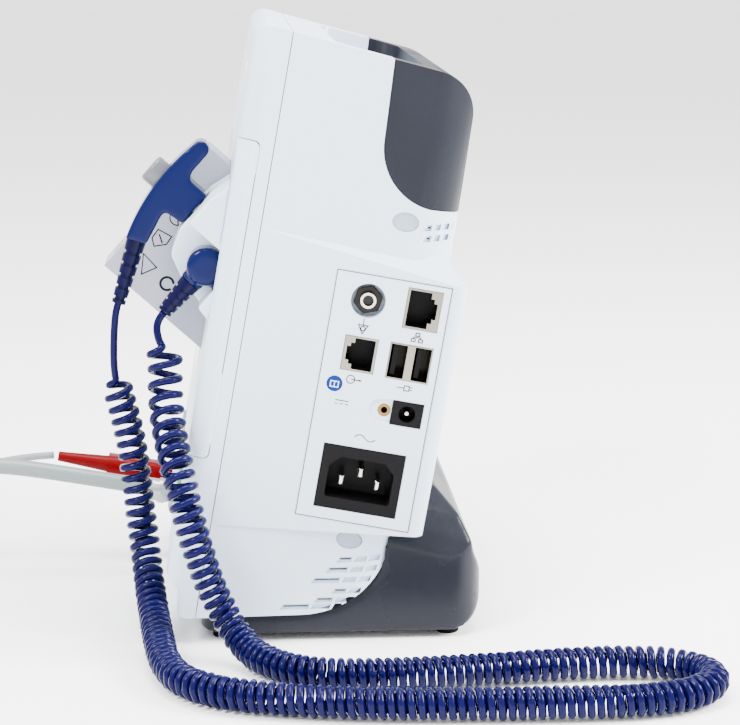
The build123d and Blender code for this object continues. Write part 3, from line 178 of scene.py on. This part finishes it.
def material(name, color, rough, metal=0.0, mottle=0.02, grain=0.15, grain_scale=2600,
             coat=0.0, clear=0.0, ior=1.5, specular=0.5, face=None):
    """A procedural material with mottle and grain.  Below face (millimetres from the
    socket side) it darkens with painted shade."""
    made = bpy.data.materials.new(name)
    made.use_nodes = True
    tree = made.node_tree
    shader = tree.nodes["Principled BSDF"]
    effect = tree.nodes.new("ShaderNodeGroup")
    effect.node_tree = surface_group
    effect.inputs["Color"].default_value = (*color, 1)
    effect.inputs["Roughness"].default_value = rough
    effect.inputs["Mottle"].default_value = mottle
    effect.inputs["Grain"].default_value = grain
    effect.inputs["Grain Scale"].default_value = grain_scale
    color_from = effect
    if face is not None:
        color_from = tree.nodes.new("ShaderNodeGroup")
        color_from.node_tree = recess_shade_group
        color_from.inputs["Level"].default_value = bay_level + face / 1000
        tree.links.new(effect.outputs["Color"], color_from.inputs["Color"])
    tree.links.new(color_from.outputs["Color"], shader.inputs["Base Color"])
    tree.links.new(effect.outputs["Roughness"], shader.inputs["Roughness"])
    tree.links.new(effect.outputs["Normal"], shader.inputs["Normal"])
    shader.inputs["Metallic"].default_value = metal
    shader.inputs["Coat Weight"].default_value = coat
    shader.inputs["Coat Roughness"].default_value = 0.12
    shader.inputs["Transmission Weight"].default_value = clear
    shader.inputs["IOR"].default_value = ior
    shader.inputs["Specular IOR Level"].default_value = specular
    return made


looks = {
    "body_white": material("body_white", (0.58, 0.67, 0.78), 0.38, mottle=0.012),
    "panel_white": material("panel_white", (0.58, 0.67, 0.78), 0.36, mottle=0.012),
    "door_white": material("door_white", (0.57, 0.66, 0.77), 0.38, mottle=0.012),
    "grip_grey": material("grip_grey", (0.0115, 0.0125, 0.018), 0.42, mottle=0.10, grain=0.6,
                          grain_scale=1800, specular=0.10),
    "stand_grey": material("stand_grey", (0.0085, 0.0095, 0.0145), 0.30, mottle=0.08, grain=0.4,
                           grain_scale=1800, specular=0.16),
    "plug_rubber": material("plug_rubber", (0.30, 0.36, 0.42), 0.6, mottle=0.03),
    "screw_steel": material("screw_steel", (0.55, 0.55, 0.56), 0.3, metal=1.0),
    "label_print": material("label_print", (0.60, 0.69, 0.80), 0.35, mottle=0.008, grain=0.05),
    "socket_black": material("socket_black", (0.0035, 0.003, 0.0035), 0.42, mottle=0.1, grain=0.3,
                             specular=0.08),
    "pin_metal": material("pin_metal", (0.62, 0.60, 0.55), 0.22, metal=1.0),
    # painted shade: the shield darkens below a level just under the socket side, into its socket
    "shield_metal": material("shield_metal", (0.26, 0.24, 0.20), 0.24, metal=1.0, mottle=0.14,
                             face=-0.40),
    "insert_brass": material("insert_brass", (0.22, 0.12, 0.035), 0.22, metal=1.0, mottle=0.15),
    # painted shade: the terminal darkens below a level just under the socket side, into its cup
    "terminal_metal": material("terminal_metal", (0.75, 0.73, 0.68), 0.22, metal=1.0, mottle=0.08,
                               face=-0.65),
    # painted shade: near-black metal for the nut, standing in for the shade in its deep cup
    "nut_metal": material("nut_metal", (0.020, 0.018, 0.016), 0.24, metal=1.0, mottle=0.2),
    "screen_glass": material("screen_glass", (0.006, 0.007, 0.009), 0.06, mottle=0.01, grain=0.0),
    "display_dark": material("display_dark", (0.006, 0.006, 0.008), 0.3, grain=0.0),
    "alarm_lens": material("alarm_lens", (0.80, 0.70, 0.64), 0.25, coat=0.3, mottle=0.02),
    "key_grey": material("key_grey", (0.16, 0.19, 0.24), 0.4),
    "key_amber": material("key_amber", (0.55, 0.26, 0.02), 0.4),
    "key_green": material("key_green", (0.04, 0.20, 0.08), 0.4),
    "board_green": material("board_green", (0.01, 0.07, 0.03), 0.4, mottle=0.1),
    "supply_metal": material("supply_metal", (0.60, 0.61, 0.62), 0.35, metal=1.0),
    "pump_grey": material("pump_grey", (0.04, 0.042, 0.045), 0.5),
    "battery_dark": material("battery_dark", (0.015, 0.017, 0.025), 0.4),
    "plate_steel": material("plate_steel", (0.03, 0.03, 0.034), 0.5, mottle=0.05),
    "foot_rubber": material("foot_rubber", (0.003, 0.003, 0.0035), 0.75, mottle=0.08,
                            specular=0.08),
    "chamber_grey": material("chamber_grey", (0.28, 0.31, 0.36), 0.4),
    "probe_blue": material("probe_blue", (0.0008, 0.0034, 0.042), 0.15, mottle=0.06, grain=0.06,
                           specular=0.12),
    "boot_blue": material("boot_blue", (0.0014, 0.0009, 0.022), 0.22, mottle=0.06, specular=0.09),
    "shaft_metal": material("shaft_metal", (0.70, 0.70, 0.70), 0.2, metal=1.0),
    "button_grey": material("button_grey", (0.085, 0.09, 0.105), 0.28, mottle=0.08),
    "box_card": material("box_card", (0.30, 0.31, 0.36), 0.55, mottle=0.03, grain=0.3,
                         grain_scale=900),
    "cover_clear": material("cover_clear", (0.75, 0.78, 0.84), 0.25, clear=0.3, ior=1.45),
    "cord_blue": material("cord_blue", (0.0012, 0.0007, 0.032), 0.13, mottle=0.08, grain=0.05,
                          specular=0.10),
    "fitting_metal": material("fitting_metal", (0.36, 0.37, 0.37), 0.30, metal=0.8),
    "hose_grey": material("hose_grey", (0.165, 0.195, 0.19), 0.36, mottle=0.03),
    "lead_socket_white": material("lead_socket_white", (0.62, 0.67, 0.74), 0.4),
    "plug_red": material("plug_red", (0.12, 0.0005, 0.002), 0.22, mottle=0.05, specular=0.06),
    "lead_grey": material("lead_grey", (0.20, 0.21, 0.22), 0.45, mottle=0.03),
    "print_dark": material("print_dark", (0.006, 0.008, 0.012), 0.5, grain=0.0, specular=0.08),
    "print_blue": material("print_blue", (0.001, 0.018, 0.15), 0.4, grain=0.0, specular=0.1),
}

slots = {row["node"]: row["material_slot"] for row in frame["record"]["subparts"]}
bevels = {
    "rear_housing": 0.5, "front_bezel": 0.45, "front_panel": 0.45, "grip_cover": 0.7,
    "cover_box": 0.25, "battery_door": 0.4, "mains_inlet": 0.35, "usb_shell": 0.15,
    "power_outlet": 0.3, "jack_shields": 0.12, "earth_nut": 0.3, "lead_plug": 1.2,
    "hose_connector": 0.4, "eject_button": 1.5, "lead_end": 0.5, "hose_end": 0.4,
    "jack_bodies": 0.1, "usb_tongues": 0.15, "mains_pins": 0.25, "earth_terminal": 0.3,
}
# soft mouldings: size of the grid they are rebuilt on, and how often they are smoothed
softened = {
    "probe_handle": (0.5, 24), "probe_plug": (0.4, 36), "pod_housing": (0.45, 10),
    "stand_base": (1.1, 5),
}
for name, node in nodes.items():
    node.data.materials.clear()
    node.data.materials.append(looks[slots[name]])
    if name in softened:
        grid, rounds = softened[name]
        rebuild = node.modifiers.new("rebuild", "REMESH")
        rebuild.mode = "VOXEL"
        rebuild.voxel_size = grid / 1000
        rebuild.use_smooth_shade = True
        ease = node.modifiers.new("ease", "SMOOTH")
        ease.factor = 0.5
        ease.iterations = rounds
    if name in bevels:
        weld = node.modifiers.new("weld", "WELD")
        weld.merge_threshold = 0.00001
        round_off = node.modifiers.new("round", "BEVEL")
        round_off.width = bevels[name] / 1000
        round_off.segments = 3
        round_off.limit_method = "ANGLE"
        round_off.angle_limit = math.radians(32)
        round_off.harden_normals = True
        round_off.use_clamp_overlap = True
        round_off.miter_outer = "MITER_ARC"
        if name == "rear_housing":
            round_off.harden_normals = False
            even_out = node.modifiers.new("even_out", "WEIGHTED_NORMAL")
            even_out.keep_sharp = True


# ---------------------------------------------------------------- surfaces and lines
def mesh_piece(name, points, faces, look, smooth=True):
    """A mesh object from points in metres and faces."""
    mesh = bpy.data.meshes.new(name)
    mesh.from_pydata([tuple(p) for p in points], [], [tuple(f) for f in faces])
    mesh.validate()
    if smooth:
        mesh.shade_smooth()
    mesh.materials.append(looks[look])
    piece = bpy.data.objects.new(name, mesh)
    bpy.context.scene.collection.objects.link(piece)
    return piece


def smooth_line(points_mm, per_span=24):
    """Points along a NURBS line whose control points are given in millimetres."""
    curve = bpy.data.curves.new("line", "CURVE")
    curve.dimensions = "3D"
    spline = curve.splines.new("NURBS")
    spline.points.add(len(points_mm) - 1)
    for knot, p in zip(spline.points, points_mm):
        knot.co = (p[0] / 1000, p[1] / 1000, p[2] / 1000, 1)
    spline.order_u = 3
    spline.use_endpoint_u = True
    spline.resolution_u = per_span
    holder = bpy.data.objects.new("line", curve)
    bpy.context.scene.collection.objects.link(holder)
    made = bpy.data.meshes.new_from_object(holder)
    line = np.array([v.co for v in made.vertices], float)
    bpy.data.objects.remove(holder)
    bpy.data.curves.remove(curve)
    bpy.data.meshes.remove(made)
    return line


def even(line, step):
    """The same line with its points a step apart, in metres."""
    runs = np.linalg.norm(np.diff(line, axis=0), axis=1)
    along = np.concatenate([[0], np.cumsum(runs)])
    count = max(2, int(round(along[-1] / step)) + 1)
    want = np.linspace(0, along[-1], count)
    return np.stack([np.interp(want, along, line[:, k]) for k in range(3)], axis=1), want


def frames_along(line, first):
    """Tangent, and two directions square to it that don't twist along the line."""
    tangents = np.gradient(line, axis=0)
    tangents /= np.linalg.norm(tangents, axis=1)[:, None]
    across = np.zeros_like(line)
    side = np.array(first, float)
    for k, tangent in enumerate(tangents):
        side = side - tangent * (side @ tangent)
        side /= np.linalg.norm(side)
        across[k] = side
    return tangents, across, np.cross(tangents, across)


def tube(name, line, radius, look, sides=10, first=(0, 0, 1)):
    """A round tube with closed ends: each ring is the line's point plus radius times
    (cosine across + sine over).  Radius is one number or one per point."""
    tangents, across, over = frames_along(line, first)
    radii = np.broadcast_to(np.asarray(radius, float), (len(line),))
    turn = np.linspace(0, 2 * math.pi, sides, endpoint=False)
    wall = (
        line[:, None, :]
        + radii[:, None, None] * (np.cos(turn)[None, :, None] * across[:, None, :]
                                  + np.sin(turn)[None, :, None] * over[:, None, :])
    )
    points = np.concatenate([wall.reshape(-1, 3), line[:1], line[-1:]])
    near = np.arange(sides)
    following = (near + 1) % sides
    ring = np.arange(len(line) - 1)[:, None] * sides
    quads = np.stack([ring + near, ring + following, ring + sides + following,
                      ring + sides + near], axis=-1).reshape(-1, 4)
    low, high = len(points) - 2, len(points) - 1
    last = (len(line) - 1) * sides
    start_cap = np.stack([np.full(sides, low), following, near], axis=1)
    end_cap = np.stack([np.full(sides, high), last + near, last + following], axis=1)
    faces = quads.tolist() + np.stack([start_cap, end_cap], axis=1).reshape(-1, 3).tolist()
    return mesh_piece(name, points, faces, look)


# ---------------------------------------------------------------- print on the label
# painted shade: the earth nut takes the near-black nut_metal for the shade in its cup
nodes["earth_nut"].data.materials.clear()
nodes["earth_nut"].data.materials.append(looks["nut_metal"])


def on_box(a, b, lift):
    """A point on the cover box's side from millimetres along the probe, up and out of it."""
    probe_seat = np.array([0.0299, -0.03663, 0.16622])
    along_probe = np.array([0, 0.743145, -0.669131])
    up_handle = np.array([0, 0.669131, 0.743145])
    return probe_seat + (along_probe * a + up_handle * b + outward * lift) / 1000


def stroke(name, route_uv, width, look="print_dark", closed=False, lift=-0.04, place=on_bay):
    """A thin flat line of print along points on a side of the object, in millimetres: each
    rail is the route plus or minus half the width, square to the mean of its two runs."""
    route = np.array(route_uv, float)
    if closed:
        before, after = np.roll(route, 1, axis=0), np.roll(route, -1, axis=0)
    else:
        before = np.vstack([2 * route[:1] - route[1:2], route[:-1]])
        after = np.vstack([route[1:], 2 * route[-1:] - route[-2:-1]])
    into, away = route - before, after - route
    into /= np.linalg.norm(into, axis=1)[:, None]
    away /= np.linalg.norm(away, axis=1)[:, None]
    middle = into + away
    middle /= np.linalg.norm(middle, axis=1)[:, None]
    spread = width / 2 / np.clip(np.sum(middle * into, axis=1), 0.5, 1)
    aside = np.stack([-middle[:, 1], middle[:, 0]], axis=1) * spread[:, None]
    rails = [route + aside, route - aside]
    points = [place(u, v, lift + rise) for rail in rails for rise in (0, 0.05) for u, v in rail]
    count = len(route)
    left = np.arange(count if closed else count - 1)
    left_n = (left + 1) % count
    left_top, right, right_top = left + count, left + 2 * count, left + 3 * count
    left_top_n, right_n, right_top_n = left_n + count, left_n + 2 * count, left_n + 3 * count
    faces = np.stack([
        np.stack([left_top, right_top, right_top_n, left_top_n], axis=1),
        np.stack([left, left_n, right_n, right], axis=1),
        np.stack([left, left_top, left_top_n, left_n], axis=1),
        np.stack([right, right_n, right_top_n, right_top], axis=1),
    ], axis=1).reshape(-1, 4).tolist()
    if not closed:
        faces.append((0, 2 * count, 3 * count, count))
        end = count - 1
        faces.append((end, count + end, 3 * count + end, 2 * count + end))
    piece = mesh_piece(name, points, faces, look, smooth=False)
    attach(piece, "monitor" if place is on_bay else "cover_box")


def disc(name, u, v, radius, look, lift=-0.04, sides=40):
    """A thin round patch of print on the socket side: two rims of one radius and a wall."""
    turn = np.linspace(0, 2 * math.pi, sides, endpoint=False)
    rims = [[on_bay(u + radius * math.cos(t), v + radius * math.sin(t), lift + rise) for t in turn]
            for rise in (0, 0.05)]
    points = rims[0] + rims[1]
    faces = [tuple(range(sides))[::-1], tuple(range(sides, 2 * sides))]
    for k in range(sides):
        n = (k + 1) % sides
        faces.append((k, n, sides + n, sides + k))
    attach(mesh_piece(name, points, faces, look, smooth=False), "monitor")


def circle_route(u, v, radius, sides=24):
    """Points round a circle on the socket side."""
    return [(u + radius * math.cos(t), v + radius * math.sin(t))
            for t in np.linspace(0, 2 * math.pi, sides, endpoint=False)]


def box_route(u, v, half_u, half_v):
    """The corners of an upright box on the socket side."""
    return [(u - half_u, v - half_v), (u + half_u, v - half_v),
            (u + half_u, v + half_v), (u - half_u, v + half_v)]


stroke("label_border", box_route(44.7, 85.0, 21.9, 48.0), 0.3, closed=True)
# earth: a stem and a triangle with a ring in it
stroke("earth_stem", [(35.7, 116.2), (35.9, 113.7)], 0.36)
stroke("earth_triangle", [(34.0, 113.6), (37.7, 113.6), (35.9, 110.2)], 0.38, closed=True)
stroke("earth_ring", circle_route(35.9, 112.3, 0.85, 16), 0.38, closed=True)
# network: three boxes joined by lines
for box_name, box_u, box_v in (("a", 56.8, 113.5), ("b", 55.4, 111.2), ("c", 58.2, 111.2)):
    stroke("network_box_" + box_name, box_route(box_u, box_v, 0.75, 0.55), 0.38, closed=True)
stroke("network_line", [(55.4, 111.9), (55.4, 112.4), (58.2, 112.4), (58.2, 111.9)], 0.36)
# call socket: a ring with a line through it
stroke("call_ring", circle_route(34.7, 92.3, 1.55, 28), 0.38, closed=True)
stroke("call_line", [(34.9, 92.3), (39.0, 92.3)], 0.38)
disc("call_dot", 38.2, 92.3, 0.4, "print_dark", sides=12)
# data sockets: a plug with two prongs on a line
stroke("data_line", [(52.4, 92.4), (55.2, 92.4)], 0.38)
stroke("data_plug", box_route(56.2, 92.4, 0.95, 0.95), 0.38, closed=True)
stroke("data_prong_a", [(57.2, 92.9), (58.4, 92.9)], 0.38)
stroke("data_prong_b", [(57.2, 91.9), (58.4, 91.9)], 0.38)
disc("blue_patch", 28.9, 89.7, 3.1, "print_blue")
stroke("blue_patch_page", box_route(28.9, 89.5, 1.5, 1.1), 0.35, look="label_print",
       closed=True, lift=0.03)
stroke("blue_patch_fold", [(28.9, 88.5), (28.9, 90.5)], 0.3, look="label_print", lift=0.03)
# direct current out: a line over three dashes; mains in: a wave
stroke("direct_line", [(30.2, 83.6), (35.4, 83.6)], 0.35)
for dash, dash_u in enumerate((30.2, 32.2, 34.2)):
    stroke("direct_dash_%d" % dash, [(dash_u, 82.3), (dash_u + 1.2, 82.3)], 0.35)
wave = [(40.0 + 8.0 * t, 70.6 + 1.1 * math.sin(2 * math.pi * t)) for t in np.linspace(0, 1, 25)]
stroke("mains_wave", wave, 0.35)

# plain shapes printed on the cover box's side
stroke("box_ring", circle_route(-1.3, -9.7, 3.0, 28), 0.5, closed=True, lift=-0.02, place=on_box)
stroke("box_ring_bar", [(-3.6, -7.6), (1.0, -11.8)], 0.5, lift=-0.02, place=on_box)
stroke("box_badge", [(-4.0, -18.2), (1.9, -16.9), (2.4, -20.6), (-0.8, -24.4), (-3.6, -22.4)], 0.5,
       closed=True, lift=-0.02, place=on_box)
stroke("box_badge_line", [(-2.4, -19.4), (0.9, -21.4)], 0.6, lift=-0.02, place=on_box)
stroke("box_triangle", [(-2.0, -29.4), (5.6, -30.2), (2.8, -36.2)], 0.5, closed=True,
       lift=-0.02, place=on_box)
stroke("box_loop", circle_route(12.9, -32.4, 2.6, 28)[3:], 1.0, lift=-0.02, place=on_box)

# ---------------------------------------------------------------- curly cord
lie = 6.4
curly_route = [
    (50, -66.9, 130.2), (50, -68.0, 127.4), (50, -69.0, 120), (50, -69.6, 106),
    (50, -68.6, 96), (50, -63.4, 77), (50.5, -60.6, 50),
    (55, -58.1, 28), (72, -55.6, 14.5), (98, -52.6, 8.6), (122, -49.8, lie), (143, -43.1, lie),
    (157, -28.6, lie), (165, -6.6, lie), (171, 26.4, lie), (173, 58.4, lie), (174.3, 93.4, lie),
    (173.8, 120, lie), (168, 139.5, lie), (155.5, 149.8, lie), (143, 148.2, lie),
    (133.8, 137, lie), (130.8, 119, lie), (132, 97.4, lie), (136.5, 68.4, lie),
    (140.2, 33.4, lie), (138.5, 6.4, lie), (127.5, -9.6, lie), (109, -19.6, 7),
    (100.5, -27.6, 18), (99.6, -34.1, 33), (99.5, -40.1, 54), (94.5, -44.1, 72),
    (81.5, -47.6, 85), (73.5, -49.1, 97), (70, -48.6, 113.4), (69.6, -51.4, 118),
    (68, -52.2, 125), (68, -48.9, 128.6),
]
middle, along = even(smooth_line(curly_route), 0.0005)
total = along[-1]
wire = 0.0030  # thickness of the cord's strand
swing = 0.0048  # from the cord's middle line to the middle of the strand
# the distance between turns along the cord, wide near the plug and close on the desk
stations = np.array([0.0, 0.030, 0.045, 0.10, 0.16, 0.24, 0.36, 0.42, 0.50, 0.58, 0.66, 0.72, total])
pitches = np.array([5.5, 5.2, 4.9, 4.5, 3.9, 3.5, 3.45, 4.0, 3.5, 3.5, 4.6, 7.0, 7.9]) / 1000
pitch = np.interp(along, stations, pitches)
phase = np.concatenate([[0], np.cumsum(np.diff(along) / pitch[1:])]) * 2 * math.pi
open_out = np.clip((along - 0.031) / 0.004, 0, 1) * np.clip((total - 0.0135 - along) / 0.003, 0, 1)
open_out = open_out * open_out * (3 - 2 * open_out)
loose = 1 + 0.05 * np.interp(along, [0, total - 0.11, total - 0.05, total], [0.3, 0, 3.0, 3.6])
tangents, across, over = frames_along(middle, (1, 0, 0))
radius_here = swing * open_out * loose
coil = middle + radius_here[:, None] * (
    np.cos(phase)[:, None] * across + np.sin(phase)[:, None] * over
)
coil, coil_along = even(coil, 0.00125)
curly = tube("curly_cord_wire", coil, wire / 2, "cord_blue", sides=10, first=(1, 0, 0))
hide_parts("curly_cord", "probe_tail", "plug_tail")
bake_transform(curly)


# ---------------------------------------------------------------- hose and lead
def coil_turns(centre, start_angle, turning, entry, slots_rz, end_turn, step_deg=6):
    """Turns of a coil on the desk, one per slot (radius, height), eased from slot to slot."""
    points = []
    radius, height = entry
    angle = start_angle
    for index, (next_radius, next_height) in enumerate(slots_rz):
        turns = 1.0 if index < len(slots_rz) - 1 else end_turn
        count = int(round(360 * turns / step_deg))
        for k in range(count):
            ease = min(1.0, (k + 1) / 14)
            ease = ease * ease * (3 - 2 * ease)
            r = radius + (next_radius - radius) * ease
            z = height + (next_height - height) * ease
            angle += turning * math.radians(step_deg)
            points.append((centre[0] + r * math.cos(angle), centre[1] + r * math.sin(angle), z))
        radius, height = next_radius, next_height
    return points


hose_seen = smooth_line([
    (-20, -62.3, 37.9), (-20, -95.6, 44.1), (-20, -123.6, 48.4), (-20, -149.6, 48.2),
    (-20, -174.6, 42), (-20, -196.6, 33.6), (-20, -217.6, 31.6),
])
hose_slots = [
    (47, 24.5), (40, 24.5), (33, 24.5), (33, 17.5), (40, 17.5), (47, 17.5),
    (47, 10.5), (40, 10.5), (33, 10.5), (33, 3.6), (40, 3.6), (47, 3.6),
]
hose_turns = np.array(coil_turns((20, -221.6), math.pi, 1, (40, 31.6), hose_slots, 1.25)) / 1000
hose_out = np.array([(28, -268.6, 3.7), (38, -268.6, 4.6), (47.5, -268.6, 5.5)]) / 1000
hose_line, hose_along = even(np.concatenate([hose_seen, hose_turns, hose_out]), 0.004)
hose = tube("air_hose_whole", hose_line, 0.0035, "hose_grey", sides=16)
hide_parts("air_hose", "hose_coil")
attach(hose, "monitor")

lead_seen = smooth_line([
    (-42, -101.0, 46.9), (-42, -115.6, 46.2), (-42, -133.6, 42), (-42, -151.6, 31),
    (-42, -167.6, 20.6), (-42, -184.6, 17.7),
])
lead_slots = []
for layer in range(5):
    order = (4.8, 1.6, -1.6, -4.8) if layer % 2 == 0 else (-4.8, -1.6, 1.6, 4.8)
    lead_slots += [(18.5 + step, 14.4 - 3.2 * layer) for step in order]
# the last layer runs inside out, so that the end leaves on the outside
lead_slots[16:] = [(18.5 + step, 1.7) for step in (-4.8, -1.6, 1.6, 4.8)]
lead_turns = np.array(coil_turns((-60.5, -187.6), 0, -1, (18.5, 17.7), lead_slots, 1.25, 10)) / 1000
lead_out = np.array([(-66, -210.9, 2.2), (-70, -210.9, 3.2), (-74, -210.9, 4.0)]) / 1000
lead_line, lead_along = even(np.concatenate([lead_seen, lead_turns, lead_out]), 0.002)
lead = tube("sensor_lead_whole", lead_line, 0.0016, "lead_grey", sides=10)
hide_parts("sensor_lead", "lead_coil")
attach(lead, "monitor")

# ---------------------------------------------------------------- floor, light, camera
floor_mesh = bpy.data.meshes.new("floor")
floor_mesh.from_pydata([(-6, -6, 0), (6, -6, 0), (6, 6, 0), (-6, 6, 0)], [], [(0, 1, 2, 3)])
floor = bpy.data.objects.new("floor", floor_mesh)
bpy.context.scene.collection.objects.link(floor)
floor_look = bpy.data.materials.new("floor_paper")
floor_look.use_nodes = True
floor_shader = floor_look.node_tree.nodes["Principled BSDF"]
floor_shader.inputs["Base Color"].default_value = (0.97, 0.97, 0.975, 1)
floor_shader.inputs["Roughness"].default_value = 0.7
floor_mesh.materials.append(floor_look)

world = bpy.data.worlds.new("studio")
bpy.context.scene.world = world
world.use_nodes = True
background = world.node_tree.nodes["Background"]
background.inputs["Color"].default_value = (1.0, 1.0, 1.0, 1)
background.inputs["Strength"].default_value = 2.5


def soft_light(name, place, aim, size, power, color=(1, 1, 1)):
    """A square area light that points at a place."""
    lamp = bpy.data.lights.new(name, "AREA")
    lamp.size = size
    lamp.energy = power
    lamp.color = color
    holder = bpy.data.objects.new(name, lamp)
    bpy.context.scene.collection.objects.link(holder)
    holder.location = place
    holder.rotation_mode = "QUATERNION"
    holder.rotation_quaternion = (Vector(aim) - Vector(place)).to_track_quat("-Z", "Y")


soft_light("key", (0.7, -0.7, 1.1), (0, 0, 0.1), 0.4, 30)
soft_light("back", (0.25, 1.0, 0.7), (0, 0.05, 0.05), 0.5, 44)
soft_light("top", (0.1, 0.05, 1.3), (0, 0, 0.1), 0.7, 34)

yaw, pitch_down = math.radians(3.68), math.radians(11.12)
camera_data = bpy.data.cameras.new("camera")
camera_data.lens = 109.85
camera_data.sensor_width = 36
camera = bpy.data.objects.new("camera", camera_data)
bpy.context.scene.collection.objects.link(camera)
camera.location = (0.9228, -0.0250, 0.2763)
look_along = Vector((-math.cos(yaw) * math.cos(pitch_down), math.sin(yaw) * math.cos(pitch_down),
                     -math.sin(pitch_down)))
camera.rotation_mode = "QUATERNION"
camera.rotation_quaternion = look_along.to_track_quat("-Z", "Y")
bpy.context.scene.camera = camera
